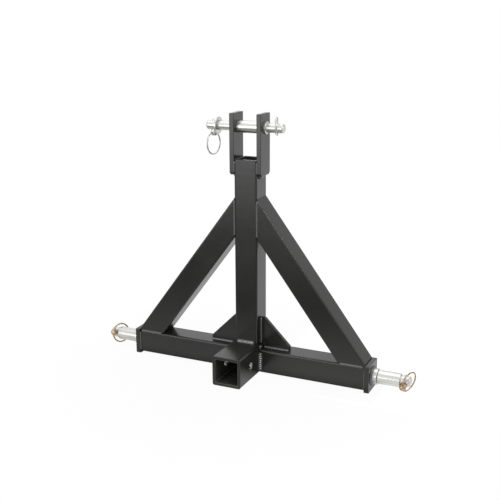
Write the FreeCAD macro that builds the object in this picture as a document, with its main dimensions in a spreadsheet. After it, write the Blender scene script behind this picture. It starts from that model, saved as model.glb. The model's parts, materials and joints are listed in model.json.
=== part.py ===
import FreeCAD, Part
import math
import os
import re
import Sketcher

# Three point hitch adapter: a welded A-frame of square tube with a receiver socket in front,
# a clevis on top and a lift pin at each end. Millimetres. X runs along the crossbar,
# -Y is the side that the socket opens to, Z is up and zero where the end plates stand.

Vector = FreeCAD.Vector
RIGHT = Vector(1, 0, 0)
BACK = Vector(0, 1, 0)
UP = Vector(0, 0, 1)
doc = FreeCAD.newDocument("three_point_hitch_adapter")
sheet = doc.addObject("Spreadsheet::Sheet", "Sizes")

SIZES = {
    "tube_side": 50.8,
    "tube_wall": 4.8,
    "tube_corner": 4.0,
    "crossbar_length": 529.0,
    "mast_height": 406.4,
    "brace_below_lugs": 46.9,
    "brace_toe": 6.0,
    "receiver_side": 63.5,
    "receiver_wall": 6.35,
    "receiver_corner": 4.5,
    "receiver_reach": 97.5,
    "hitch_pin_bore": 16.3,
    "hitch_pin_setback": 51.0,
    "gusset_leg": 66.0,
    "gusset_nose": 9.5,
    "gusset_thickness": 8.0,
    "plate_side": 58.0,
    "plate_thickness": 10.0,
    "plate_corner": 3.0,
    "lug_thickness": 9.5,
    "lug_width": 46.0,
    "lug_rise": 93.0,
    "lug_overlap": 32.5,
    "lug_corner": 2.5,
    "lug_toe": 5.0,
    "eye_drop": 28.6,
    "top_pin_diameter": 19.05,
    "top_pin_left": 95.5,
    "top_pin_right": 76.5,
    "top_pin_nose": 4.0,
    "bushing_diameter": 25.4,
    "bushing_proud": 5.0,
    "pin_running_gap": 0.25,
    "lug_bore_gap": 0.3,
    "end_play": 0.3,
    "lift_pin_diameter": 22.2,
    "lift_pin_stub": 67.5,
    "lift_pin_nose": 3.0,
    "collar_diameter": 33.5,
    "collar_length": 12.0,
    "sleeve_diameter": 28.6,
    "sleeve_length": 47.5,
    "sleeve_edge": 1.0,
    "washer_diameter": 35.0,
    "washer_thickness": 3.0,
    "washer_bore_gap": 0.3,
    "washer_from_nose": 26.3,
    "linch_diameter": 9.5,
    "linch_hole_gap": 0.25,
    "linch_tip_proud": 4.0,
    "linch_tip_chamfer": 2.0,
    "linch_seat_gap": 0.3,
    "head_diameter": 14.0,
    "head_height": 12.0,
    "head_round": 4.5,
    "head_seat_round": 1.5,
    "ring_wire": 3.2,
    "ring_bend": 4.0,
    "ring_end_gap": 2.0,
    "ring_eye_gap": 0.15,
    "lift_ring_radius": 21.0,
    "lift_ring_drop": 19.0,
    "top_ring_radius": 23.0,
    "top_ring_drop": 21.0,
    "clip_wire": 3.0,
    "clip_hole_gap": 0.25,
    "clip_from_nose": 15.0,
    "clip_eye_radius": 5.0,
    "clip_eye_height": 17.5,
    "clip_leg_proud": 5.0,
    "clip_hug_gap": 0.2,
    "clip_flare_radius": 5.0,
    "weld_leg": 7.0,
    "weld_crown": 1.2,
    "small_weld_leg": 3.4,
    "small_weld_crown": 0.6,
    "seam_width": 8.0,
    "seam_height": 1.6,
    "collar_weld_leg": 4.0,
}

ANGLES = {
    "left_linch_lean": 70.0,
    "right_linch_lean": 116.0,
    "top_linch_lean": 172.0,
    "top_linch_roll": 8.0,
    "left_ring_swing": -25.0,
    "right_ring_swing": 25.0,
    "top_ring_swing": 180.0,
    "clip_hug_below": 35.0,
    "clip_flare_turn": 60.0,
}

for row, (alias, value) in enumerate({**SIZES, **ANGLES}.items(), start=1):
    sheet.set(f"A{row}", alias)
    sheet.set(f"B{row}", str(value))
    sheet.setAlias(f"B{row}", alias)
doc.recompute()

# Heights and reaches that several pieces share
HALF = "(tube_side / 2)"
AXIS = "(plate_side / 2)"
BAR_TOP = f"({AXIS} + {HALF})"
BAR_BOTTOM = f"({AXIS} - {HALF})"
BAR_END = "(crossbar_length / 2)"
MAST_TOP = f"({BAR_TOP} + mast_height)"
BRACE_RISE = "(mast_height - lug_overlap - brace_below_lugs)"
BRACE_TOP = f"({BAR_TOP} + {BRACE_RISE})"
BRACE_TOE = f"({BAR_TOP} + brace_toe)"
BRACE_RUN = f"({BAR_END} - {HALF})"
BRACE_FALL = f"({BRACE_RISE} - brace_toe)"
BRACE_PLUMB = f"(tube_side * sqrt(1 + ({BRACE_FALL} / {BRACE_RUN}) ^ 2))"
BRACE_SLOPE = f"({BRACE_FALL} / {BRACE_RUN})"
BRACE_FOOT = f"({BAR_END} - ({BRACE_PLUMB} - brace_toe) / {BRACE_SLOPE})"
LUG_TOP = f"({MAST_TOP} + lug_rise)"
LUG_FOOT = f"({MAST_TOP} - lug_overlap)"
LUG_BACK = f"(lug_width - {HALF})"
EYE = f"({LUG_TOP} - eye_drop)"
EYE_DEPTH = f"(lug_width / 2 - {HALF})"
PLATE_FACE = f"({BAR_END} + plate_thickness)"
SHOULDER = f"({PLATE_FACE} + collar_length)"
LIFT_PIN_END = f"({SHOULDER} + lift_pin_stub)"
SLEEVE_START = f"({SHOULDER} + end_play)"
LIFT_LINCH = f"({SLEEVE_START} + sleeve_length + end_play + head_diameter / 2)"
WASHER_START = "(top_pin_left - washer_from_nose)"
TOP_LINCH = f"({WASHER_START} + washer_thickness + end_play + head_diameter / 2)"
TOP_CLIP = "(top_pin_right - clip_from_nose)"
LINCH_HOLE = "(linch_diameter / 2 + linch_hole_gap)"
LIFT_HEAD = "(lift_pin_diameter / 2 + linch_seat_gap + head_height / 2)"
TOP_HEAD = "(top_pin_diameter / 2 + linch_seat_gap + head_height / 2)"


def bound(text):
    """Turn plain size names into references to the sheet."""
    return re.sub(r"[a-z][a-z_]+", lambda word: sheet_name(word[0]), str(text))


def sheet_name(word):
    return f"Sizes.{word}" if word in SIZES or word in ANGLES else word


def number(text):
    """The value that an expression in size names has now."""
    return float(sheet.evalExpression(str(text)))


def new_body(label):
    body = doc.addObject("PartDesign::Body", label)
    body.Label = label
    return body


def new_sketch(body, role, offset="0"):
    """A sketch on one of the body's own base planes, moved along that plane's normal."""
    plane = [item for item in body.Origin.OriginFeatures if item.Role == role][0]
    sketch = body.newObject("Sketcher::SketchObject", f"{body.Label}_sketch")
    sketch.AttachmentSupport = [(plane, "")]
    sketch.MapMode = "FlatFace"
    sketch.setExpression("AttachmentOffset.Base.z", bound(offset))
    return sketch


def fix(sketch, kind, where, text):
    """Add one dimension to the sketch and bind it to the sheet."""
    index = sketch.addConstraint(Sketcher.Constraint(kind, *where, drawn(sketch, kind, where)))
    sketch.setExpression(f"Constraints[{index}]", bound(text))


def drawn(sketch, kind, where):
    """The dimension as it stands in the sketch, before it is bound."""
    if kind == "Radius":
        return sketch.Geometry[where[0]].Radius
    point = sketch.getPoint(where[2], where[3])
    return point.x if kind == "DistanceX" else point.y


def draw_polygon(sketch, corners):
    """A closed outline, each corner held by two dimensions from the sketch's origin."""
    count = len(corners)
    start = [Vector(number(across), number(up), 0) for across, up in corners]
    for i in range(count):
        sketch.addGeometry(Part.LineSegment(start[i], start[(i + 1) % count]))
    for i in range(count):
        sketch.addConstraint(Sketcher.Constraint("Coincident", i, 2, (i + 1) % count, 1))
    for i, (across, up) in enumerate(corners):
        fix(sketch, "DistanceX", (-1, 1, i, 1), across)
        fix(sketch, "DistanceY", (-1, 1, i, 1), up)
    return sketch


def draw_circle(sketch, across, up, radius):
    centre = Vector(number(across), number(up), 0)
    index = sketch.addGeometry(Part.Circle(centre, UP, number(radius)))
    fix(sketch, "Radius", (index,), radius)
    fix(sketch, "DistanceX", (-1, 1, index, 3), across)
    fix(sketch, "DistanceY", (-1, 1, index, 3), up)
    return sketch


def thicken(body, sketch, thickness):
    """Pad the sketch evenly to both sides of its plane."""
    pad = body.newObject("PartDesign::Pad", f"{body.Label}_pad")
    pad.Profile = sketch
    pad.SideType = "Symmetric"
    pad.setExpression("Length", bound(thickness))
    doc.recompute()


def cut(body, sketch, thickness):
    """Pocket the sketch evenly to both sides of its plane, and make sure it cuts."""
    before = body.Shape.Volume
    pocket = body.newObject("PartDesign::Pocket", f"{body.Label}_pocket")
    pocket.Profile = sketch
    pocket.SideType = "Symmetric"
    pocket.setExpression("Length", bound(thickness))
    doc.recompute()
    if not body.Shape.Volume < before - 1e-6:
        raise RuntimeError(f"a pocket of {body.Label} cuts nothing")


def revolve(body, sketch, axis):
    turned = body.newObject("PartDesign::Revolution", f"{body.Label}_turned")
    turned.Profile = sketch
    turned.ReferenceAxis = (sketch, [axis])
    turned.Angle = 360
    doc.recompute()


def round_edges(body, radius, chosen):
    """Fillet every edge of the body that the test picks."""
    tip = body.Tip
    names = [f"Edge{i}" for i, edge in enumerate(tip.Shape.Edges, start=1) if chosen(edge)]
    if not names:
        raise RuntimeError(f"no edge to round on {body.Label}")
    fillet = body.newObject("PartDesign::Fillet", f"{body.Label}_fillet")
    fillet.Base = (tip, names)
    fillet.setExpression("Radius", bound(radius))
    doc.recompute()


def runs_along(direction):
    """A test for straight edges parallel to one direction."""
    def chosen(edge):
        if edge.Curve.TypeId != "Part::GeomLine":
            return False
        return abs(abs(edge.Curve.Direction.dot(direction)) - 1) < 1e-6
    return chosen


def move(item, x="0", y="0", z="0"):
    for axis, text in zip("xyz", (x, y, z)):
        item.setExpression(f"Placement.Base.{axis}", bound(text))


def square_tube(label, role, outline, hollow, side, wall, corner, direction, middle="0"):
    """A tube seen from its side: the outline padded to its depth, its long outer edges
    rounded, and the hollow cut between its two remaining walls."""
    body = new_body(label)
    thicken(body, draw_polygon(new_sketch(body, role, middle), outline), side)
    round_edges(body, corner, runs_along(direction))
    cut(body, draw_polygon(new_sketch(body, role, middle), hollow), f"{side} - 2 * {wall}")
    return body


def make_crossbar():
    outline = [(f"-{BAR_END}", BAR_BOTTOM), (BAR_END, BAR_BOTTOM),
               (BAR_END, BAR_TOP), (f"-{BAR_END}", BAR_TOP)]
    low = f"{BAR_BOTTOM} + tube_wall"
    high = f"{BAR_TOP} - tube_wall"
    end = f"({BAR_END} + tube_side)"
    hollow = [(f"-{end}", low), (end, low), (end, high), (f"-{end}", high)]
    square_tube("crossbar_tube", "XZ_Plane", outline, hollow,
                "tube_side", "tube_wall", "tube_corner", Vector(1, 0, 0))


def make_mast():
    outline = [(f"-{HALF}", BAR_TOP), (HALF, BAR_TOP), (HALF, MAST_TOP), (f"-{HALF}", MAST_TOP)]
    inside = f"({HALF} - tube_wall)"
    low = f"{BAR_TOP} - tube_side"
    high = f"{MAST_TOP} + tube_side"
    hollow = [(f"-{inside}", low), (inside, low), (inside, high), (f"-{inside}", high)]
    square_tube("mast_tube", "XZ_Plane", outline, hollow,
                "tube_side", "tube_wall", "tube_corner", Vector(0, 0, 1))


def make_brace(label, side):
    """A mitred tube from the mast's side down to the crossbar's top, at its very end."""
    outline = [
        (f"{side} * {HALF}", BRACE_TOP),
        (f"{side} * {BAR_END}", BRACE_TOE),
        (f"{side} * {BAR_END}", BAR_TOP),
        (f"{side} * {BRACE_FOOT}", BAR_TOP),
        (f"{side} * {HALF}", f"{BRACE_TOP} - {BRACE_PLUMB}"),
    ]
    skin = f"(tube_wall * {BRACE_PLUMB} / tube_side)"
    past = "tube_side"
    beyond = f"({BAR_END} + {past})"
    before = f"({HALF} - {past})"
    top = f"({BRACE_TOP} - {skin})"
    low = f"({BRACE_TOP} - {BRACE_PLUMB} + {skin})"
    hollow = [
        (f"{side} * {before}", f"{top} + {past} * {BRACE_SLOPE}"),
        (f"{side} * {beyond}", f"{top} - ({BRACE_RUN} + {past}) * {BRACE_SLOPE}"),
        (f"{side} * {beyond}", f"{low} - ({BRACE_RUN} + {past}) * {BRACE_SLOPE}"),
        (f"{side} * {before}", f"{low} + {past} * {BRACE_SLOPE}"),
    ]
    direction = Vector(side * number(BRACE_RUN), 0, -number(BRACE_FALL)).normalize()
    square_tube(label, "XZ_Plane", outline, hollow,
                "tube_side", "tube_wall", "tube_corner", direction)


def make_receiver():
    """The socket: a heavier tube butted against the crossbar, cross-bored for a hitch pin."""
    mouth = f"(-{HALF} - receiver_reach)"
    top = f"({BAR_BOTTOM} + receiver_side)"
    outline = [(mouth, BAR_BOTTOM), (f"-{HALF}", BAR_BOTTOM), (f"-{HALF}", top), (mouth, top)]
    low = f"{BAR_BOTTOM} + receiver_wall"
    high = f"{top} - receiver_wall"
    past = "receiver_side"
    hollow = [(f"{mouth} - {past}", low), (f"{past} - {HALF}", low),
              (f"{past} - {HALF}", high), (f"{mouth} - {past}", high)]
    body = square_tube("receiver_tube", "YZ_Plane", outline, hollow,
                       "receiver_side", "receiver_wall", "receiver_corner", Vector(0, 1, 0))
    bore = draw_circle(new_sketch(body, "YZ_Plane"), f"{mouth} + hitch_pin_setback",
                       f"{BAR_BOTTOM} + receiver_side / 2", "hitch_pin_bore / 2")
    cut(body, bore, "2 * receiver_side")


def make_gusset(label, side):
    """A flat corner plate between the mast and the crossbar with two blunt noses."""
    body = new_body(label)
    corners = [
        (f"{side} * {HALF}", BAR_TOP),
        (f"{side} * ({HALF} + gusset_leg)", BAR_TOP),
        (f"{side} * ({HALF} + gusset_leg)", f"{BAR_TOP} + gusset_nose"),
        (f"{side} * ({HALF} + gusset_nose)", f"{BAR_TOP} + gusset_leg"),
        (f"{side} * {HALF}", f"{BAR_TOP} + gusset_leg"),
    ]
    thicken(body, draw_polygon(new_sketch(body, "XZ_Plane"), corners), "gusset_thickness")


def make_end_plate(label, side):
    """The cap welded over a tube end, bored for the spigot of its lift pin."""
    body = new_body(label)
    middle = f"{side} * ({BAR_END} + plate_thickness / 2)"
    corners = [("-plate_side / 2", "0"), ("plate_side / 2", "0"),
               ("plate_side / 2", "plate_side"), ("-plate_side / 2", "plate_side")]
    thicken(body, draw_polygon(new_sketch(body, "YZ_Plane", middle), corners), "plate_thickness")
    round_edges(body, "plate_corner", runs_along(Vector(1, 0, 0)))
    bore = draw_circle(new_sketch(body, "YZ_Plane", middle), "0", AXIS, "lift_pin_diameter / 2")
    cut(body, bore, "2 * plate_thickness")


def make_lug(label, side, bore_radius):
    """A clevis lug: a flat plate on the mast's side, flush with its front and clipped at its foot."""
    body = new_body(label)
    middle = f"{side} * ({HALF} + lug_thickness / 2)"
    corners = [
        (f"-{HALF} + lug_toe", LUG_FOOT), (f"{LUG_BACK} - lug_toe", LUG_FOOT),
        (LUG_BACK, f"{LUG_FOOT} + lug_toe"), (LUG_BACK, LUG_TOP),
        (f"-{HALF}", LUG_TOP), (f"-{HALF}", f"{LUG_FOOT} + lug_toe"),
    ]
    thicken(body, draw_polygon(new_sketch(body, "YZ_Plane", middle), corners), "lug_thickness")
    across = runs_along(Vector(1, 0, 0))
    highest = body.Shape.BoundBox.ZMax
    round_edges(body, "lug_corner", lambda edge: across(edge) and edge.CenterOfMass.z > highest - 1e-3)
    bore = draw_circle(new_sketch(body, "YZ_Plane", middle), EYE_DEPTH, EYE, bore_radius)
    cut(body, bore, "2 * lug_thickness")


def rim(axis, place, radius):
    """A test for the circular edge of one radius that lies at one place along an axis."""
    def chosen(edge):
        if edge.Curve.TypeId != "Part::GeomCircle":
            return False
        if abs(edge.Curve.Radius - radius) > 1e-3:
            return False
        return abs(getattr(edge.Curve.Center, axis) - place) < 1e-3
    return chosen


def make_lift_pin(label, side):
    """A turned pin: a spigot through the end plate, a shoulder collar and the stub."""
    body = new_body(label)
    radius = "lift_pin_diameter / 2"
    corners = [
        (BAR_END, "0"), (BAR_END, radius), (PLATE_FACE, radius),
        (PLATE_FACE, "collar_diameter / 2"), (SHOULDER, "collar_diameter / 2"),
        (SHOULDER, radius), (LIFT_PIN_END, radius), (LIFT_PIN_END, "0"),
    ]
    signed = [(f"{side} * {along}", out) for along, out in corners]
    revolve(body, draw_polygon(new_sketch(body, "XZ_Plane"), signed), "H_Axis")
    round_edges(body, "lift_pin_nose", rim("x", side * number(LIFT_PIN_END), number(radius)))
    lean = number("left_linch_lean" if side < 0 else "right_linch_lean")
    drill(body, f"{side} * {LIFT_LINCH}", lean, LINCH_HOLE, "lift_pin_diameter")
    move(body, z=AXIS)


def make_lift_pin_weld(label, side):
    """The ring of weld between an end plate and the collar of its lift pin."""
    body = new_body(label)
    root = "(collar_diameter / 2)"
    corners = [(PLATE_FACE, root), (PLATE_FACE, f"{root} + collar_weld_leg"),
               (f"{PLATE_FACE} + collar_weld_leg", root)]
    signed = [(f"{side} * ({along})", out) for along, out in corners]
    revolve(body, draw_polygon(new_sketch(body, "XZ_Plane"), signed), "H_Axis")
    move(body, z=AXIS)


def drill(body, x, lean, radius, diameter):
    """A cross hole through a round pin that lies along X, leaning about that axis."""
    hole = new_sketch(body, "XY_Plane")
    draw_circle(hole, x, "0", radius)
    turn = FreeCAD.Rotation(Vector(1, 0, 0), lean)
    hole.AttachmentOffset = FreeCAD.Placement(Vector(0, 0, 0), turn)
    doc.recompute()
    cut(body, hole, f"2 * {diameter}")


def make_sleeve(label, side):
    """The loose bushing that turns on a lift pin."""
    body = new_body(label)
    inner = "(lift_pin_diameter / 2 + pin_running_gap)"
    outer = "(sleeve_diameter / 2)"
    start = SLEEVE_START
    end = f"({SLEEVE_START} + sleeve_length)"
    corners = [
        (start, inner), (start, f"{outer} - sleeve_edge"), (f"({start} + sleeve_edge)", outer),
        (f"({end} - sleeve_edge)", outer), (end, f"{outer} - sleeve_edge"), (end, inner),
    ]
    signed = [(f"{side} * {along}", out) for along, out in corners]
    revolve(body, draw_polygon(new_sketch(body, "XZ_Plane"), signed), "H_Axis")
    move(body, z=AXIS)


def make_top_pin():
    body = new_body("top_link_pin")
    radius = "top_pin_diameter / 2"
    corners = [("-top_pin_left", "0"), ("-top_pin_left", radius),
               ("top_pin_right", radius), ("top_pin_right", "0")]
    revolve(body, draw_polygon(new_sketch(body, "XZ_Plane"), corners), "H_Axis")
    for tip in ("-top_pin_left", "top_pin_right"):
        round_edges(body, "top_pin_nose", rim("x", number(tip), number(radius)))
    drill(body, f"-{TOP_LINCH}", number("top_linch_lean"), LINCH_HOLE, "top_pin_diameter")
    drill(body, TOP_CLIP, 0, "clip_wire / 2 + clip_hole_gap", "top_pin_diameter")
    move(body, y=EYE_DEPTH, z=EYE)


def make_top_bushing():
    """The bushing that fills the right lug's bore and reaches to the left lug's face."""
    body = new_body("top_pin_bushing")
    inner = "(top_pin_diameter / 2 + pin_running_gap)"
    outer = "(bushing_diameter / 2)"
    start = f"(-{HALF} + end_play)"
    end = f"({HALF} + lug_thickness + bushing_proud)"
    corners = [(start, inner), (start, outer), (f"{end} - sleeve_edge", outer),
               (end, f"{outer} - sleeve_edge"), (end, inner)]
    revolve(body, draw_polygon(new_sketch(body, "XZ_Plane"), corners), "H_Axis")
    move(body, y=EYE_DEPTH, z=EYE)


def make_washer():
    body = new_body("top_pin_washer")
    inner = "top_pin_diameter / 2 + washer_bore_gap"
    outer = "washer_diameter / 2"
    near = f"-{WASHER_START}"
    far = f"(-{WASHER_START} - washer_thickness)"
    corners = [(near, inner), (near, outer), (far, outer), (far, inner)]
    revolve(body, draw_polygon(new_sketch(body, "XZ_Plane"), corners), "H_Axis")
    move(body, y=EYE_DEPTH, z=EYE)


def linch_turn(side, lean, roll=0.0):
    """From a linch pin's own axes, with its head up Z and the pin's free end along X."""
    outward = FreeCAD.Rotation(Vector(0, 0, 1), 0 if side > 0 else 180)
    rolled = FreeCAD.Rotation(Vector(0, 0, 1), roll)
    return FreeCAD.Rotation(Vector(1, 0, 0), lean).multiply(rolled).multiply(outward)


def make_linch_pin(label, shaft, head, place, turn):
    """A turned linch pin: chamfered shank and a rounded head cross-bored for its ring."""
    body = new_body(label)
    shank = "linch_diameter / 2"
    tip = f"(-{shaft} / 2 - linch_tip_proud)"
    seat = f"({head} - head_height / 2)"
    corners = [
        ("0", tip), (f"{shank} - linch_tip_chamfer", tip), (shank, f"{tip} + linch_tip_chamfer"),
        (shank, seat), ("head_diameter / 2", seat),
        ("head_diameter / 2", f"{seat} + head_height"), ("0", f"{seat} + head_height"),
    ]
    revolve(body, draw_polygon(new_sketch(body, "XZ_Plane"), corners), "V_Axis")
    outer = number("head_diameter / 2")
    for level, radius in ((f"{seat} + head_height", "head_round"), (seat, "head_seat_round")):
        round_edges(body, radius, rim("z", number(level), outer))
    eye = draw_circle(new_sketch(body, "XZ_Plane"), "0", head, "ring_wire / 2 + ring_eye_gap")
    cut(body, eye, "2 * head_diameter")
    body.Placement = FreeCAD.Placement(Vector(0, 0, 0), turn)
    move(body, *place)


def draw_ring_path(sketch, radius, drop):
    """Two straight ends on the hinge line, a small bend each and the round of the ring."""
    big = number(radius)
    low = number(drop)
    bend = number("ring_bend")
    gap = number("ring_end_gap") / 2
    reach = math.sqrt((big - bend) ** 2 - (low - bend) ** 2)
    angle = math.atan2(low - bend, reach)
    normal = Vector(0, 0, 1)
    right = Part.Circle(Vector(reach, -bend, 0), normal, bend)
    left = Part.Circle(Vector(-reach, -bend, 0), normal, bend)
    around = Part.Circle(Vector(0, -low, 0), normal, big)
    sketch.addGeometry(Part.LineSegment(Vector(gap, 0, 0), Vector(reach, 0, 0)))
    sketch.addGeometry(Part.ArcOfCircle(right, angle, math.pi / 2))
    sketch.addGeometry(Part.ArcOfCircle(around, math.pi - angle, 2 * math.pi + angle))
    sketch.addGeometry(Part.ArcOfCircle(left, math.pi / 2, math.pi - angle))
    sketch.addGeometry(Part.LineSegment(Vector(-reach, 0, 0), Vector(-gap, 0, 0)))
    for link in ((0, 2, 1, 2), (1, 1, 2, 2), (2, 1, 3, 2), (3, 1, 4, 1)):
        sketch.addConstraint(Sketcher.Constraint("Tangent", *link))
    for line in (0, 4):
        sketch.addConstraint(Sketcher.Constraint("Horizontal", line))
    for arc, text in ((1, "ring_bend"), (2, radius), (3, "ring_bend")):
        fix(sketch, "Radius", (arc,), text)
    fix(sketch, "DistanceX", (-1, 1, 2, 3), "0")
    fix(sketch, "DistanceY", (-1, 1, 2, 3), f"-{drop}")
    fix(sketch, "DistanceX", (-1, 1, 0, 1), "ring_end_gap / 2")
    fix(sketch, "DistanceY", (-1, 1, 0, 1), "0")
    fix(sketch, "DistanceX", (-1, 1, 4, 2), "-ring_end_gap / 2")
    fix(sketch, "DistanceY", (-1, 1, 4, 2), "0")
    return sketch


def bend_wire(body, path, profile):
    """A round wire that follows the path."""
    pipe = body.newObject("PartDesign::AdditivePipe", f"{body.Label}_wire")
    pipe.Profile = profile
    pipe.Spine = (path, [f"Edge{i + 1}" for i in range(path.GeometryCount)])
    doc.recompute()


def make_ring(label, radius, drop, head, place, turn, swing):
    """A spring ring hinged in the linch pin's head: it hangs down -Z from its hinge line Y."""
    body = new_body(label)
    path = draw_ring_path(new_sketch(body, "YZ_Plane"), radius, drop)
    doc.recompute()
    profile = draw_circle(new_sketch(body, "XZ_Plane", "-ring_end_gap / 2"), "0", "0", "ring_wire / 2")
    bend_wire(body, path, profile)
    up = turn.multVec(UP)
    swung = turn.multiply(FreeCAD.Rotation(BACK, -swing))
    body.Placement = FreeCAD.Placement(Vector(0, 0, 0), swung)
    move(body, *[f"{text} + ({share:.9f}) * {head}" for text, share in zip(place, up)])


def make_r_clip():
    """A spring clip: its straight leg drops through the pin, its other leg hugs the outside."""
    body = new_body("top_pin_r_clip")
    eye = number("clip_eye_radius")
    hug = number("top_pin_diameter / 2 + clip_wire / 2 + clip_hug_gap")
    flare = number("clip_flare_radius")
    eye_centre = Vector(-eye, number("clip_eye_height"), 0)
    shift = eye_centre * -1
    lean = math.atan2(shift.y, shift.x) + math.acos((hug - eye) / shift.Length)
    leaves = lean + math.pi
    inward = Vector(math.cos(lean), math.sin(lean), 0)
    last = math.pi + math.radians(number("clip_hug_below"))
    back = last - math.pi
    flare_centre = Vector(math.cos(last), math.sin(last), 0) * (hug + flare)
    flare_start = back - math.radians(number("clip_flare_turn"))
    leg_end = Vector(0, number("-top_pin_diameter / 2 - clip_leg_proud"), 0)
    edges = [
        Part.LineSegment(leg_end, Vector(0, eye_centre.y, 0)),
        Part.ArcOfCircle(Part.Circle(eye_centre, UP, eye), 0, leaves % (2 * math.pi)),
        Part.LineSegment(eye_centre - inward * eye, inward * -hug),
        Part.ArcOfCircle(Part.Circle(Vector(0, 0, 0), UP, hug), leaves, last),
        Part.ArcOfCircle(Part.Circle(flare_centre, UP, flare), flare_start, back),
    ]
    path = new_sketch(body, "YZ_Plane")
    for edge in edges:
        path.addGeometry(edge)
    doc.recompute()
    profile = draw_circle(new_sketch(body, "XY_Plane", "-top_pin_diameter / 2 - clip_leg_proud"),
                          "0", "0", "clip_wire / 2")
    bend_wire(body, path, profile)
    move(body, TOP_CLIP, EYE_DEPTH, EYE)


def bead(profile, start, along, first, length):
    """One run of weld: the profile carried from its start, its first leg along one direction."""
    run = doc.addObject("Part::Extrusion", "bead")
    run.Base = profile
    run.DirMode = "Custom"
    run.Dir = UP
    run.Solid = True
    run.setExpression("LengthFwd", bound(length))
    turn = FreeCAD.Rotation(first, along.cross(first), along, "XYZ")
    run.Placement = FreeCAD.Placement(Vector(0, 0, 0), turn)
    move(run, *start)
    return run


def fillet_bead(profile, start, along, one, two, length):
    """A run in a corner, its two legs lying along the two directions given."""
    first = one if along.cross(one).dot(two) > 0 else two
    return bead(profile, start, along, first, length)


def seam_bead(profile, start, along, outward, length):
    """A run over a flush joint, its crown standing outward."""
    return bead(profile, start, along, outward.cross(along), length)


def weld_profile(name, leg, crown):
    """The section of a fillet weld: two equal legs in the corner and a crowned face."""
    sketch = doc.addObject("Sketcher::SketchObject", name)
    bow = f"(({leg} ^ 2 / 2 + {crown} ^ 2) / (2 * {crown}))"
    size = number(leg)
    radius = number(bow)
    back = (radius - number(crown)) / math.sqrt(2) - size / 2
    centre = Vector(-back, -back, 0)
    low = math.atan2(back, size + back)
    circle = Part.Circle(centre, UP, radius)
    sketch.addGeometry(Part.LineSegment(Vector(0, 0, 0), Vector(size, 0, 0)))
    sketch.addGeometry(Part.ArcOfCircle(circle, low, math.pi / 2 - low))
    sketch.addGeometry(Part.LineSegment(Vector(0, size, 0), Vector(0, 0, 0)))
    for link in ((0, 2, 1, 1), (1, 2, 2, 1), (2, 2, 0, 1)):
        sketch.addConstraint(Sketcher.Constraint("Coincident", *link))
    sketch.addConstraint(Sketcher.Constraint("Horizontal", 0))
    sketch.addConstraint(Sketcher.Constraint("Vertical", 2))
    sketch.addConstraint(Sketcher.Constraint("Coincident", 0, 1, -1, 1))
    fix(sketch, "DistanceX", (-1, 1, 0, 2), leg)
    fix(sketch, "DistanceY", (-1, 1, 2, 1), leg)
    fix(sketch, "Radius", (1,), bow)
    return sketch


def seam_profile(name):
    """The section of a flush seam: a flat back and a low crown, centred on the joint."""
    sketch = doc.addObject("Sketcher::SketchObject", name)
    bow = "(((seam_width / 2) ^ 2 + seam_height ^ 2) / (2 * seam_height))"
    half = number("seam_width / 2")
    drop = number(f"{bow} - seam_height")
    circle = Part.Circle(Vector(0, -drop, 0), UP, number(bow))
    low = math.atan2(drop, half)
    sketch.addGeometry(Part.LineSegment(Vector(-half, 0, 0), Vector(half, 0, 0)))
    sketch.addGeometry(Part.ArcOfCircle(circle, low, math.pi - low))
    for link in ((0, 2, 1, 1), (0, 1, 1, 2)):
        sketch.addConstraint(Sketcher.Constraint("Coincident", *link))
    fix(sketch, "DistanceX", (-1, 1, 0, 1), "-seam_width / 2")
    fix(sketch, "DistanceX", (-1, 1, 0, 2), "seam_width / 2")
    fix(sketch, "DistanceY", (-1, 1, 0, 1), "0")
    fix(sketch, "DistanceY", (-1, 1, 0, 2), "0")
    fix(sketch, "Radius", (1,), bow)
    return sketch


def gather(label, runs):
    group = doc.addObject("Part::Compound", label)
    group.Label = label
    group.Links = runs


def make_lug_welds(fillet, small_fillet, seam):
    """On each lug a seam down its front edge, a small fillet behind it and one under its foot."""
    runs = []
    low = f"{LUG_FOOT} + lug_toe"
    inset = "(lug_toe + tube_corner)"
    length = "lug_overlap - lug_toe - seam_width / 2"
    for side in (-1, 1):
        x = f"{side} * {HALF}"
        out = RIGHT * side
        runs.append(seam_bead(seam, (x, f"-{HALF}", low), UP, BACK * -1, length))
        runs.append(fillet_bead(small_fillet, (x, LUG_BACK, low), UP, BACK, out, length))
        start = (x, f"{inset} - {HALF}", LUG_FOOT)
        runs.append(fillet_bead(fillet, start, BACK, out, UP * -1, f"lug_width - 2 * {inset}"))
    gather("lug_welds", runs)


def make_brace_welds(seam):
    """Seams up the mast and along the crossbar on the front and back of each brace."""
    runs = []
    margin = "seam_width / 2"
    low = f"{BRACE_TOP} - {BRACE_PLUMB} + {margin}"
    for side in (-1, 1):
        for face in (-1, 1):
            y = f"{face} * {HALF}"
            start = (f"{side} * {HALF}", y, low)
            runs.append(seam_bead(seam, start, UP, BACK * face, f"{BRACE_PLUMB} - seam_width"))
            start = (f"{side} * ({BRACE_FOOT} + {margin})", y, BAR_TOP)
            length = f"{BAR_END} - {BRACE_FOOT} - seam_width"
            runs.append(seam_bead(seam, start, RIGHT * side, BACK * face, length))
    gather("brace_welds", runs)


def make_mast_welds(fillet, seam):
    """Fillets at the mast's foot beside each gusset, and one seam across its back."""
    runs = []
    clear = "(gusset_thickness / 2)"
    length = f"{HALF} - tube_corner - {clear}"
    for side in (-1, 1):
        for face in (-1, 1):
            start = (f"{side} * {HALF}", f"{face} * {clear}", BAR_TOP)
            runs.append(fillet_bead(fillet, start, BACK * face, RIGHT * side, UP, length))
    start = (f"tube_corner - {HALF}", HALF, BAR_TOP)
    runs.append(seam_bead(seam, start, RIGHT, BACK, "tube_side - 2 * tube_corner"))
    gather("mast_welds", runs)


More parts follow.
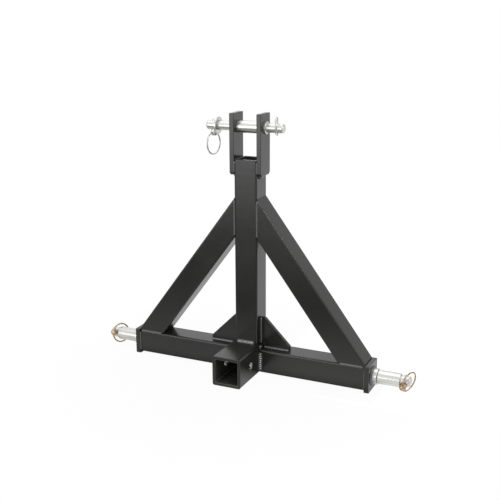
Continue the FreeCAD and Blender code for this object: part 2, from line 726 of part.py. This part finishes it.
def make_gusset_welds(fillet):
    """Fillets on both faces of each gusset, from the mast's own weld to the gusset's ends."""
    runs = []
    length = "gusset_leg - weld_leg"
    for side in (-1, 1):
        for face in (-1, 1):
            y = f"{face} * gusset_thickness / 2"
            start = (f"{side} * ({HALF} + weld_leg)", y, BAR_TOP)
            runs.append(fillet_bead(fillet, start, RIGHT * side, BACK * face, UP, length))
            start = (f"{side} * {HALF}", y, f"{BAR_TOP} + weld_leg")
            runs.append(fillet_bead(fillet, start, UP, BACK * face, RIGHT * side, length))
    gather("gusset_welds", runs)


def make_receiver_welds(fillet):
    """A fillet down each side of the receiver and one over it, against the mast's face."""
    runs = []
    low = f"{BAR_BOTTOM} + receiver_corner"
    for side in (-1, 1):
        start = (f"{side} * receiver_side / 2", f"-{HALF}", low)
        length = "tube_side - receiver_corner - tube_corner"
        runs.append(fillet_bead(fillet, start, UP, RIGHT * side, BACK * -1, length))
    start = (f"tube_corner - {HALF}", f"-{HALF}", f"{BAR_BOTTOM} + receiver_side")
    runs.append(fillet_bead(fillet, start, RIGHT, BACK * -1, UP, "tube_side - 2 * tube_corner"))
    gather("receiver_welds", runs)


def make_end_plate_welds(fillet):
    """Fillets round the tube's end on the front, the back and underneath."""
    runs = []
    length = "tube_side - 2 * tube_corner"
    low = f"{BAR_BOTTOM} + tube_corner"
    for side in (-1, 1):
        x = f"{side} * {BAR_END}"
        inward = RIGHT * -side
        for face in (-1, 1):
            runs.append(fillet_bead(fillet, (x, f"{face} * {HALF}", low), UP, BACK * face, inward, length))
        start = (x, f"tube_corner - {HALF}", BAR_BOTTOM)
        runs.append(fillet_bead(fillet, start, BACK, UP * -1, inward, length))
    gather("end_plate_welds", runs)


def make_all():
    make_crossbar()
    make_mast()
    for name, side in (("left", -1), ("right", 1)):
        make_brace(f"{name}_brace_tube", side)
        make_gusset(f"{name}_gusset", side)
        make_end_plate(f"{name}_end_plate", side)
        make_lift_pin(f"{name}_lift_pin", side)
        make_lift_pin_weld(f"{name}_lift_pin_weld", side)
        make_sleeve(f"{name}_lift_sleeve", side)
    make_receiver()
    make_lug("left_clevis_lug", -1, "top_pin_diameter / 2 + lug_bore_gap")
    make_lug("right_clevis_lug", 1, "bushing_diameter / 2 + lug_bore_gap")
    make_top_pin()
    make_top_bushing()
    make_washer()
    make_r_clip()
    for name, side in (("left", -1), ("right", 1)):
        turn = linch_turn(side, number(f"{name}_linch_lean"))
        place = (f"{side} * {LIFT_LINCH}", "0", AXIS)
        make_linch_pin(f"{name}_linch_pin", "lift_pin_diameter", LIFT_HEAD, place, turn)
        make_ring(f"{name}_linch_ring", "lift_ring_radius", "lift_ring_drop", LIFT_HEAD, place,
                  turn, number(f"{name}_ring_swing"))
    turn = linch_turn(-1, number("top_linch_lean"), number("top_linch_roll"))
    place = (f"-{TOP_LINCH}", EYE_DEPTH, EYE)
    make_linch_pin("top_linch_pin", "top_pin_diameter", TOP_HEAD, place, turn)
    make_ring("top_linch_ring", "top_ring_radius", "top_ring_drop", TOP_HEAD, place,
              turn, number("top_ring_swing"))
    fillet = weld_profile("fillet_profile", "weld_leg", "weld_crown")
    small_fillet = weld_profile("small_fillet_profile", "small_weld_leg", "small_weld_crown")
    seam = seam_profile("seam_profile")
    make_lug_welds(fillet, small_fillet, seam)
    make_brace_welds(seam)
    make_mast_welds(fillet, seam)
    make_gusset_welds(small_fillet)
    make_receiver_welds(fillet)
    make_end_plate_welds(small_fillet)


def write_parts():
    """Check every object of the document, then write each sub-part to its own file."""
    doc.recompute()
    for item in doc.Objects:
        if "Invalid" in item.State or "Error" in item.State:
            raise RuntimeError(f"{item.Label} failed: {item.State}")
    os.makedirs("parts", exist_ok=True)
    for item in doc.Objects:
        if item.TypeId not in ("PartDesign::Body", "Part::Compound"):
            continue
        if item.Shape.isNull() or not item.Shape.isValid():
            raise RuntimeError(f"{item.Label} has no valid shape")
        item.Shape.exportStep(f"parts/{item.Label}.step")
        print(item.Label, len(item.Shape.Solids), round(item.Shape.Volume), item.Shape.BoundBox)


make_all()
write_parts()
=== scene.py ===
import json
import math

import bmesh
import bpy
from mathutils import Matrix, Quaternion, Vector


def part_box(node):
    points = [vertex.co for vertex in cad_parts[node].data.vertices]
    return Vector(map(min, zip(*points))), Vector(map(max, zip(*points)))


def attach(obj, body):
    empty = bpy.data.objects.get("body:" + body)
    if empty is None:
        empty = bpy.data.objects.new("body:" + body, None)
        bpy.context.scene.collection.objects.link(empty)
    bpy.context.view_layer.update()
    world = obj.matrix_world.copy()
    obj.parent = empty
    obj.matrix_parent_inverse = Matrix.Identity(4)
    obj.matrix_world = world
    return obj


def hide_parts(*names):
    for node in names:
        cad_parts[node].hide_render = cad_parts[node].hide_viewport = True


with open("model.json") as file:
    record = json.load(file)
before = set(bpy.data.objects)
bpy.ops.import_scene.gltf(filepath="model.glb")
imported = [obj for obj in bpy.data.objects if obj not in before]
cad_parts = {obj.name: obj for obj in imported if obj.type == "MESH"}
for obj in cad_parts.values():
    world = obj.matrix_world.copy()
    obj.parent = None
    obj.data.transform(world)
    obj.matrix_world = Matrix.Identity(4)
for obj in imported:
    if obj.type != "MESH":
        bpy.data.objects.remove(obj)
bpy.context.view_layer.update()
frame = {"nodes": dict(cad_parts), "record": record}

# The looks of the three point hitch adapter: powder coat on the welded frame, zinc plate on
# the pins, and rippled weld beads in place of the plain ones. Metres, in the part's frame.

MM = 0.001
WHITE = (1.0, 1.0, 1.0, 1.0)

# The camera, as fitted to the photograph's straight edges
AZIMUTH = math.radians(24.692)
ELEVATION = math.radians(15.503)
ROLL = math.radians(-0.260)
DISTANCE = 1.8375
AIM = Vector((-0.0079, 0.0139, 0.2615))
LENS_MM = 62.24
SENSOR_MM = 36.0
FAR_CLIP = 50.0

# Each lamp's name, place, size and power
LAMPS = [
    ("top_lamp", (-0.3, 0.5, 2.6), 2.4, 14.0),
    ("right_lamp", (2.4, 0.6, 1.3), 1.6, 9.0),
    ("front_lamp", (-1.1, -2.6, 0.60), 1.2, 11.0),
    ("key_lamp", (-1.0, -0.6, 2.4), 0.40, 1.3),
    ("edge_lamp", (1.5, -0.7, 1.6), 0.40, 7.0),
]

# A ramp's four numbers are where it starts, where it ends, and its levels there.

# The world: its plain grey light, and its brightness in reflections, from left to right
LIGHT_GREY = (0.60, 0.60, 0.60, 1.0)
SKY_RAMP = (-0.35, 0.45, 1.0, 0.62)

# The floor: its own colour, its half width, its place below the part, and its faint shadow
FLOOR_GREY = (0.80, 0.80, 0.80, 1.0)
FLOOR_ROUGHNESS = 0.9
FLOOR_HALF = 12.0
FLOOR_DROP = 0.2 * MM
SHADOW_RAMP = (0.28, 0.55, 0.955, 1.0)

# The floor's glow in reflections, with painted light and shade: brighter from left to right,
# painted shade in front of the part that fades towards the part and away from it, and a painted
# shadow in a strip under the crossbar, from its middle to its edges
PAINTED_SHADE_IN_FRONT = 0.12
SIDE_RAMP = (-0.25, 0.20, 0.85, 1.10)
NEAR_PLACES = (-0.42, -0.05)
FAR_RAMP = (-2.0, -0.9, 1.0, PAINTED_SHADE_IN_FRONT)
PAINTED_SHADOW_MIDDLE = (0.0, 0.015, 0.0)
PAINTED_SHADOW_DEPTH_RAMP = (0.03, 0.09, 0.15, 1.0)
PAINTED_SHADOW_LENGTH_RAMP = (0.24, 0.30, 0.15, 1.0)
REFLECTED_SHARE = 0.75

# The frame's paint: how far its edges are softened, its gloss, how far the gloss drifts, and
# how high its orange peel and its slow waves stand
EDGE = 2.0 * MM
PAINT_ROUGHNESS = 0.22
PAINT_INDEX = 1.55
GLOSSIER = 0.03
DULLER = 0.04
PEEL_HEIGHT = 0.05 * MM
WAVE_HEIGHT = 0.10 * MM

# The paint on the weld beads is glossier
WELD_ROUGHNESS = 0.12
WELD_INDEX = 2.2

# Colours along a noise, each with its place on it
PAINT_TONES = [(0.30, (0.0095, 0.0095, 0.0085)), (0.70, (0.0150, 0.0150, 0.0135))]
CLEAR_TONES = [
    (0.30, (0.57, 0.57, 0.56)),
    (0.55, (0.68, 0.68, 0.66)),
    (0.72, (0.76, 0.76, 0.73)),
]
YELLOW_TONES = [
    (0.30, (0.20, 0.15, 0.09)),
    (0.45, (0.42, 0.31, 0.18)),
    (0.58, (0.52, 0.38, 0.27)),
    (0.75, (0.50, 0.44, 0.38)),
]

# Zinc plate: how far its edges are softened, and how high its streaks and its grain stand
ZINC_EDGE = 0.3 * MM
STREAK_HEIGHT = 0.006 * MM
GRAIN_HEIGHT = 0.03 * MM

# How many rays look for an edge to soften
EDGE_SAMPLES = 6

# Inside the two tubes with an open end the paint is greyer, with a painted highlight along the
# inner corners
MAST_WALL = 4.8 * MM
RECEIVER_WALL = 6.35 * MM
INSIDE_GREY = (0.055, 0.055, 0.052)
PAINTED_CORNER_HIGHLIGHT = (0.16, 0.16, 0.155)
# A painted highlight in the hitch pin's bore, laid on in patches
BORE_HIGHLIGHT_GREY = (0.60, 0.59, 0.57)

# Where each of them fades, measured outwards from the wall's inner face or the bore's edge
INSIDE_GREY_FADE = (0.4 * MM, 0.8 * MM)
CORNER_HIGHLIGHT_FADE = (-2.2 * MM, -0.8 * MM)
BORE_HIGHLIGHT_FADE = (0.1 * MM, 0.5 * MM)

# How finely weld beads are cut along and across, and how far they sink into what they lie on
STEP = 0.5 * MM
ACROSS = 12
FEWEST_CUTS = 4
SUNK = 0.3 * MM

# Shares of a bead's width: what it fills of a corner or a flush seam, how round either is, how
# high the ripples are, how far the width drifts, and how long its ends are and how thin
FILL = 0.97
SEAM_FILL = 0.64
CROWN = 0.20
RISE = 0.38
RIPPLE = 0.21
SWELL = 0.05
CAP = 0.7
THINNEST = 0.03

# Ripples: their distance, how far their sides lag and how far they drift, counted in ripples,
# how much slower they drift than the width, and how round they are along and across
PITCH = 4.2 * MM
LAG = 0.55
PITCH_DRIFT = 0.35
SLOWER = 0.7
ROUND_ALONG = 0.7
ROUND_ACROSS = 0.6

# A hand-laid bead drifts in two waves, which start at another place in each bead
LONG_WAVE = 23 * MM
SHORT_WAVE = 9 * MM
LONG_START = 1.7
SHORT_START = 2.9

# The beads' numbers, which say where their waves start
NUMBERS_PER_NODE = 10
RING_NUMBER = 70
RIPPLE_NUMBER = 5

# Points nearer to each other than this are one
TOUCH = 0.01 * MM


def put(name, data):
    """A new object in the scene."""
    item = bpy.data.objects.new(name, data)
    bpy.context.scene.collection.objects.link(item)
    return item


def put_mesh(name, mesh, material):
    """A new object in the scene from a mesh that is finished."""
    data = bpy.data.meshes.new(name)
    mesh.to_mesh(data)
    mesh.free()
    data.materials.append(material)
    return put(name, data)


def make_camera():
    """The camera, turned to where it aims from the photograph's angle."""
    data = bpy.data.cameras.new("camera")
    data.lens = LENS_MM
    data.sensor_width = SENSOR_MM
    data.clip_end = FAR_CLIP
    camera = put("camera", data)
    level = math.cos(ELEVATION)
    back = Vector((math.sin(AZIMUTH) * level, -math.cos(AZIMUTH) * level, math.sin(ELEVATION)))
    camera.location = AIM + back * DISTANCE
    turn = back.to_track_quat("Z", "Y") @ Quaternion((0, 0, 1), ROLL)
    camera.rotation_euler = turn.to_euler()
    bpy.context.scene.camera = camera


class Tree:
    """A node tree, emptied, with short ways to add and join its nodes."""

    def __init__(self, tree):
        self.tree = tree
        self.tree.nodes.clear()

    def feed(self, target, value):
        """Give an input another node's output, or a plain value."""
        if isinstance(value, bpy.types.NodeSocket):
            self.tree.links.new(value, target)
        else:
            target.default_value = value

    def add(self, kind, inputs=None, **properties):
        """A new node with its properties set and then its inputs fed."""
        node = self.tree.nodes.new(kind)
        for name, value in properties.items():
            setattr(node, name, value)
        for name, value in (inputs or {}).items():
            self.feed(node.inputs[name], value)
        return node

    def number(self, operation, one, two):
        """A number worked out from two others."""
        node = self.add("ShaderNodeMath", {0: one, 1: two}, operation=operation)
        return node.outputs["Value"]

    def highest(self, *values):
        """The highest of several numbers."""
        result = values[0]
        for value in values[1:]:
            result = self.number("MAXIMUM", result, value)
        return result

    def ramp(self, source, start, end, low, high):
        """A number that runs from low to high as the source runs from start to end."""
        inputs = {"From Min": start, "From Max": end, "To Min": low, "To Max": high}
        return self.add("ShaderNodeMapRange", {"Value": source, **inputs}).outputs["Result"]

    def axes(self, source):
        """A place or direction as its three numbers, named X, Y and Z."""
        return self.add("ShaderNodeSeparateXYZ", {"Vector": source}).outputs

    def rays(self):
        """Whether light travels to the camera, from a glossy surface or through a clear one."""
        path = self.add("ShaderNodeLightPath")
        return [path.outputs[f"Is {kind} Ray"] for kind in ("Camera", "Glossy", "Transmission")]

    def blend(self, share, below, above):
        """Two shaders in one."""
        mix = self.add("ShaderNodeMixShader", {"Fac": share, 1: below, 2: above})
        return mix.outputs["Shader"]


class Shading(Tree):
    """A new material: its nodes, its shader and the part's own coordinates."""

    def __init__(self, name):
        self.material = bpy.data.materials.new(name)
        self.material.use_nodes = True
        super().__init__(self.material.node_tree)
        self.shader = self.add("ShaderNodeBsdfPrincipled")
        self.surface = self.shader.outputs["BSDF"]
        self.output = self.add("ShaderNodeOutputMaterial", {"Surface": self.surface})
        self.place = self.add("ShaderNodeTexCoord").outputs["Object"]

    def give(self, name, value):
        """Give the shader's input of that name its value."""
        self.feed(self.shader.inputs[name], value)

    def noise(self, scale, detail, stretch=(1.0, 1.0, 1.0)):
        """Noise over the part's own coordinates; scale is in cycles per metre."""
        mapping = self.add("ShaderNodeMapping", {"Vector": self.place, "Scale": stretch})
        inputs = {"Vector": mapping.outputs["Vector"], "Scale": scale, "Detail": detail}
        return self.add("ShaderNodeTexNoise", inputs).outputs["Fac"]

    def spread(self, source, low, high, start=0.35, end=0.65):
        """The noise turned into a number from low to high."""
        return self.ramp(source, start, end, low, high)

    def colours(self, source, tones):
        """The noise turned into the shader's colour along its tones."""
        node = self.add("ShaderNodeValToRGB", {"Fac": source})
        elements = node.color_ramp.elements
        while len(elements) < len(tones):
            elements.new(1.0)
        for element, (position, colour) in zip(elements, tones):
            element.position = position
            element.color = (*colour, 1.0)
        self.give("Base Color", node.outputs["Color"])
        return node.outputs["Color"]

    def vector(self, operation, *values):
        """A vector worked out from others, or the length of one."""
        node = self.add("ShaderNodeVectorMath", dict(enumerate(values)), operation=operation)
        return node.outputs["Value" if operation == "LENGTH" else "Vector"]

    def offset(self, centre):
        """The distance of each point from a place, along each axis, without its sign."""
        return self.vector("ABSOLUTE", self.vector("SUBTRACT", self.place, centre))

    def lay_over(self, below, colour, share):
        """Another colour over the one below, as far as the share goes."""
        inputs = {"A": below, "B": (*colour, 1.0), "Factor": share}
        mix = self.add("ShaderNodeMix", inputs, data_type="RGBA")
        self.give("Base Color", mix.outputs["Result"])
        return mix.outputs["Result"]

    def relief(self, layers, edge=0.0):
        """Bumps from several noises, one over the other, on top of softened edges."""
        below = None
        if edge > 0.0:
            bevel = self.add("ShaderNodeBevel", {"Radius": edge}, samples=EDGE_SAMPLES)
            below = bevel.outputs["Normal"]
        for source, height in layers:
            inputs = {"Height": source, "Strength": 1.0, "Distance": height}
            bump = self.add("ShaderNodeBump", inputs)
            if below is not None:
                self.feed(bump.inputs["Normal"], below)
            below = bump.outputs["Normal"]
        self.give("Normal", below)


def powder_coat(name, edge, roughness, index):
    """Semi-gloss powder coat: nearly black, with a fine orange peel and soft edges. Its colour
    comes with it, so that other paint can be laid over it."""
    look = Shading(name)
    peel = look.noise(scale=620.0, detail=2.0)
    cloud = look.noise(scale=9.0, detail=4.0)
    wave = look.noise(scale=60.0, detail=1.0)
    coat = look.colours(cloud, PAINT_TONES)
    look.give("IOR", index)
    look.give("Roughness", look.spread(cloud, roughness - GLOSSIER, roughness + DULLER))
    look.relief([(peel, PEEL_HEIGHT), (wave, WAVE_HEIGHT)], edge)
    return look, coat


def tube_paint(name, node, wall, across):
    """The frame's paint on a tube with an open end: greyer inside, with a painted highlight along
    the inner corners. The tube's section lies along the two axes that across names."""
    look, coat = powder_coat(name, EDGE, PAINT_ROUGHNESS, PAINT_INDEX)
    low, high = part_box(node)
    bore = (high.x - low.x) / 2 - wall
    away = look.axes(look.offset((low + high) / 2))
    sides = [away[axis] for axis in across]
    further = look.number("MAXIMUM", *sides)
    nearer = look.number("MINIMUM", *sides)
    # Greyer inside the tube
    inside = look.ramp(further, bore + INSIDE_GREY_FADE[0], bore + INSIDE_GREY_FADE[1], 1.0, 0.0)
    # A painted highlight along the inner corners, only inside the tube
    corner = look.ramp(nearer, bore + CORNER_HIGHLIGHT_FADE[0], bore + CORNER_HIGHLIGHT_FADE[1], 0.0, inside)
    greyed = look.lay_over(coat, INSIDE_GREY, inside)
    return look, look.lay_over(greyed, PAINTED_CORNER_HIGHLIGHT, corner)


def receiver_paint():
    """The receiver's paint, with a painted highlight in patches in the hitch pin's bore, which
    lies along X.
    """
    look, coat = tube_paint("receiver_paint", "receiver_tube", RECEIVER_WALL, ("X", "Z"))
    mounts = {mount["name"]: mount for mount in frame["record"]["mounts"]}
    bore = mounts["hitch_pin_bore"]
    radius = bore["dims"]["r_mm"] * MM
    across = look.vector("MULTIPLY", look.offset(bore["pos_m"]), (0.0, 1.0, 1.0))
    reach = look.vector("LENGTH", across)
    # A painted highlight in patches on the bore's wall
    painted_bore_highlight = look.ramp(reach, radius + BORE_HIGHLIGHT_FADE[0], radius + BORE_HIGHLIGHT_FADE[1], 1.0, 0.0)
    patch = look.noise(scale=150.0, detail=2.0)
    patches = look.spread(patch, low=0.0, high=1.0, start=0.46, end=0.54)
    look.lay_over(coat, BORE_HIGHLIGHT_GREY, look.number("MULTIPLY", painted_bore_highlight, patches))
    return look.material


def clear_zinc():
    """Zinc plate on turned steel, with faint streaks along the pins, which lie along X."""
    look = Shading("clear_zinc")
    streak = look.noise(scale=240.0, detail=2.0, stretch=(0.05, 1.0, 1.0))
    dull = look.noise(scale=45.0, detail=1.0)
    look.give("Metallic", 1.0)
    look.colours(streak, CLEAR_TONES)
    look.give("Roughness", look.spread(dull, low=0.28, high=0.40))
    look.relief([(streak, STREAK_HEIGHT)], ZINC_EDGE)
    return look.material


def yellow_zinc():
    """Yellow zinc plate, which drifts from straw to rose brown and olive."""
    look = Shading("yellow_zinc")
    drift = look.noise(scale=95.0, detail=3.0)
    fine = look.noise(scale=400.0, detail=2.0)
    look.give("Metallic", 1.0)
    look.colours(drift, YELLOW_TONES)
    look.give("Roughness", look.spread(fine, low=0.22, high=0.36))
    look.relief([(drift, GRAIN_HEIGHT)], ZINC_EDGE)
    return look.material


def paint_nodes():
    """Give each CAD node the finish of its slot in the record."""
    finishes = {
        "black_paint": powder_coat("black_paint", EDGE, PAINT_ROUGHNESS, PAINT_INDEX)[0].material,
        "clear_zinc": clear_zinc(),
        "yellow_zinc": yellow_zinc(),
    }
    for row in frame["record"]["subparts"]:
        node = frame["nodes"][row["node"]]
        for slot in node.material_slots:
            slot.material = finishes[row["material_slot"]]
    open_tubes = {
        "receiver_tube": receiver_paint(),
        "mast_tube": tube_paint("mast_paint", "mast_tube", MAST_WALL, ("X", "Y"))[0].material,
    }
    for name, finish in open_tubes.items():
        frame["nodes"][name].material_slots[0].material = finish


def solids_of(node):
    """The corner points of each separate solid of a CAD node."""
    mesh = bmesh.new()
    mesh.from_mesh(frame["nodes"][node].data)
    bmesh.ops.remove_doubles(mesh, verts=mesh.verts, dist=TOUCH)
    seen = set()
    groups = []
    for seed in mesh.verts:
        if seed in seen:
            continue
        seen.add(seed)
        front = [seed]
        group = []
        while front:
            vertex = front.pop()
            group.append(vertex.co.copy())
            for edge in vertex.link_edges:
                other = edge.other_vert(vertex)
                if other not in seen:
                    seen.add(other)
                    front.append(other)
        groups.append(group)
    mesh.free()
    return groups


def axis_vector(index, sign=1.0):
    """A direction along one of the three axes."""
    vector = Vector((0.0, 0.0, 0.0))
    vector[index] = sign
    return vector


def read_run(points):
    """Where a plain bead lies: its kind, its start, its direction and length, its two section
    axes and its size. A fillet's section has one corner of its box empty, a flush seam's two."""
    low = Vector([min(p[i] for p in points) for i in range(3)])
    high = Vector([max(p[i] for p in points) for i in range(3)])
    size = high - low
    long = max(range(3), key=lambda i: size[i])
    one, two = [i for i in range(3) if i != long]
    corners = [(a, b) for a in (0, 1) for b in (0, 1)]
    ends = (low, high)

    def filled(corner):
        a, b = (ends[side][index] for index, side in zip((one, two), corner))
        return any(abs(p[one] - a) < TOUCH and abs(p[two] - b) < TOUCH for p in points)

    empty = [corner for corner in corners if not filled(corner)]
    start = low.copy()
    if len(empty) == 1:
        legs = []
        for index, side in zip((one, two), empty[0]):
            start[index] = ends[1 - side][index]
            legs.append(axis_vector(index, 1.0 if side else -1.0))
        return "fillet", start, axis_vector(long), size[long], legs, size[one]
    outward, flat = (one, two) if empty[0][0] == empty[1][0] else (two, one)
    side = empty[0][0] if outward == one else empty[0][1]
    start[outward] = ends[1 - side][outward]
    start[flat] = (low[flat] + high[flat]) / 2
    legs = [axis_vector(flat), axis_vector(outward, 1.0 if side else -1.0)]
    return "seam", start, axis_vector(long), size[long], legs, size[flat]


def swell(along, number):
    """A slow drift of a hand-laid bead, from -1 to 1."""
    long = math.sin(along / LONG_WAVE + LONG_START * number)
    short = math.sin(along / SHORT_WAVE + SHORT_START * number)
    return (long + short) / 2


def ripple(along, across, number):
    """The height of the overlapping ripples, from 0 to 1; their middle runs ahead."""
    drift = PITCH_DRIFT * swell(along * SLOWER, number + RIPPLE_NUMBER)
    turns = along / PITCH + drift - LAG * (2 * across - 1) ** 2
    return abs(math.sin(math.pi * turns)) ** ROUND_ALONG


def taper(along, length, cap):
    """How full the bead is near its two ends."""
    reach = min(1.0, along / cap, (length - along) / cap)
    return math.sqrt(max(0.0, 1.0 - (1.0 - reach) ** 2)) * (1.0 - THINNEST) + THINNEST


def section(kind, size, fullness, along, number):
    """The bead's section at one place, as pairs of distances along its two axes."""
    points = []
    fill = FILL if kind == "fillet" else SEAM_FILL
    width = size * (fill + SWELL * swell(along, number)) * fullness
    for j in range(ACROSS + 1):
        across = j / ACROSS
        bulge = math.sin(math.pi * across)
        lift = RIPPLE * (ripple(along, across, number) - 0.5) * bulge ** ROUND_ACROSS
        if kind == "fillet":
            angle = across * math.pi / 2
            reach = width / (math.cos(angle) + math.sin(angle)) + width * (CROWN * bulge + lift)
            points.append((reach * math.cos(angle), reach * math.sin(angle)))
        else:
            height = width * (RISE * bulge + lift) - SUNK * (1.0 - bulge)
            points.append(((across - 0.5) * width, height))
    points.append((-SUNK, -SUNK) if kind == "fillet" else (0.0, -2 * SUNK))
    return points


def lay_bead(mesh, kind, place, length, size, number, closed=False):
    """Add one bead to the mesh. Place turns a distance along it and a section point into a point
    of the part. A closed bead ends where it starts."""
    count = max(FEWEST_CUTS, round(length / STEP))
    rings = []
    for i in range(count if closed else count + 1):
        along = length * i / count
        fullness = 1.0 if closed else taper(along, length, size * CAP)
        pairs = section(kind, size, fullness, along, number)
        rings.append([mesh.verts.new(place(along, *pair)) for pair in pairs])
    following = rings[1:] + rings[:1] if closed else rings[1:]
    for here, there in zip(rings, following):
        for j in range(len(here)):
            k = (j + 1) % len(here)
            mesh.faces.new((here[j], there[j], there[k], here[k]))
    if not closed:
        mesh.faces.new(rings[0])
        mesh.faces.new(reversed(rings[-1]))


def finish_beads(mesh, node, finish):
    """Put a node's beads in the scene in place of its plain ones."""
    bmesh.ops.recalc_face_normals(mesh, faces=mesh.faces)
    piece = put_mesh(f"{node}_beads", mesh, finish)
    piece.data.shade_smooth()
    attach(piece, "frame")
    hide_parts(node)


def make_straight_beads(node, first_number, finish):
    """The beads of a node whose plain ones are straight."""
    mesh = bmesh.new()
    for count, points in enumerate(solids_of(node)):
        kind, start, along, length, legs, size = read_run(points)

        def place(distance, a, b):
            return start + along * distance + legs[0] * a + legs[1] * b

        lay_bead(mesh, kind, place, length, size, first_number + count)
    finish_beads(mesh, node, finish)


def make_ring_bead(node, side, number, finish):
    """The bead round a lift pin's collar, on the end plate."""
    low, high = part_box(node)
    leg = high.x - low.x
    radius = (high.z - low.z) / 2 - leg
    centre = (low + high) / 2
    face = low.x if side > 0 else high.x

    def place(distance, a, b):
        angle = distance / radius
        out = radius + b
        y = centre.y + out * math.cos(angle)
        z = centre.z + out * math.sin(angle)
        return Vector((face + side * a, y, z))

    mesh = bmesh.new()
    lay_bead(mesh, "fillet", place, 2 * math.pi * radius, leg, number, closed=True)
    finish_beads(mesh, node, finish)


def make_beads():
    """All the weld beads, in one paint."""
    finish = powder_coat("weld_paint", 0.0, WELD_ROUGHNESS, WELD_INDEX)[0].material
    joints = ["lug", "brace", "mast", "gusset", "receiver", "end_plate"]
    for count, joint in enumerate(joints):
        make_straight_beads(f"{joint}_welds", NUMBERS_PER_NODE * count, finish)
    for name, side in (("left", -1), ("right", 1)):
        make_ring_bead(f"{name}_lift_pin_weld", side, RING_NUMBER + side, finish)


def painted_floor_reflection(look):
    """How brightly each place of the floor glows in a reflection, with painted light and shade: a
    painted shadow under the crossbar, painted shade in front of the part, and bright behind it
    and further out, more so to the right."""
    place = look.axes(look.place)
    bright = look.ramp(place["X"], *SIDE_RAMP)
    near = look.ramp(place["Y"], *NEAR_PLACES, PAINTED_SHADE_IN_FRONT, bright)
    far = look.ramp(place["Y"], *FAR_RAMP)
    # A painted shadow in a strip under the crossbar, across it and along it
    away = look.axes(look.offset(PAINTED_SHADOW_MIDDLE))
    beneath = look.ramp(away["Y"], *PAINTED_SHADOW_DEPTH_RAMP)
    beside = look.ramp(away["X"], *PAINTED_SHADOW_LENGTH_RAMP)
    return look.number("MULTIPLY", look.highest(near, far), look.highest(beneath, beside))


def floor_paint():
    """White to the camera, with a faint shadow near the part, and in reflections its own glow
    with painted light and shade.
    """
    look = Shading("floor")
    look.give("Base Color", FLOOR_GREY)
    look.give("Roughness", FLOOR_ROUGHNESS)
    camera, glossy, clear = look.rays()
    white = look.ramp(look.vector("LENGTH", look.place), *SHADOW_RAMP)
    seen = look.number("MULTIPLY", camera, white)
    reflected = look.number("MULTIPLY", look.highest(glossy, clear), REFLECTED_SHARE)
    # The glow's strength carries the floor's painted light and shade in reflections
    level = look.highest(camera, painted_floor_reflection(look))
    glow = look.add("ShaderNodeEmission", {"Color": WHITE, "Strength": level}).outputs["Emission"]
    surface = look.blend(look.highest(seen, reflected), look.surface, glow)
    look.feed(look.output.inputs["Surface"], surface)
    return look.material


def make_floor():
    """A wide floor just below the part."""
    mesh = bmesh.new()
    corners = [(-1, -1), (1, -1), (1, 1), (-1, 1)]
    points = [(x * FLOOR_HALF, y * FLOOR_HALF, -FLOOR_DROP) for x, y in corners]
    mesh.faces.new([mesh.verts.new(point) for point in points])
    put_mesh("floor", mesh, floor_paint())


def make_world():
    """White to the camera, a little darker to the right in reflections, and plain grey light."""
    world = bpy.data.worlds.new("world")
    bpy.context.scene.world = world
    world.use_nodes = True
    tree = Tree(world.node_tree)
    camera, glossy, clear = tree.rays()
    place = tree.axes(tree.add("ShaderNodeTexCoord").outputs["Generated"])
    level = tree.highest(camera, tree.ramp(place["X"], *SKY_RAMP))
    light = tree.add("ShaderNodeBackground", {"Color": LIGHT_GREY})
    seen = tree.add("ShaderNodeBackground", {"Color": WHITE, "Strength": level})
    sky = [node.outputs["Background"] for node in (light, seen)]
    surface = tree.blend(tree.highest(camera, glossy, clear), *sky)
    tree.add("ShaderNodeOutputWorld", {"Surface": surface})


def make_lamp(name, place, size, power):
    """A square lamp that shines on what the camera aims at."""
    data = bpy.data.lights.new(name, "AREA")
    data.shape = "SQUARE"
    data.size = size
    data.energy = power
    lamp = put(name, data)
    lamp.location = place
    lamp.rotation_euler = (Vector(place) - AIM).to_track_quat("Z", "Y").to_euler()


make_camera()
make_floor()
make_world()
for row in LAMPS:
    make_lamp(*row)
paint_nodes()
make_beads()
bpy.context.scene.view_settings.view_transform = "Standard"
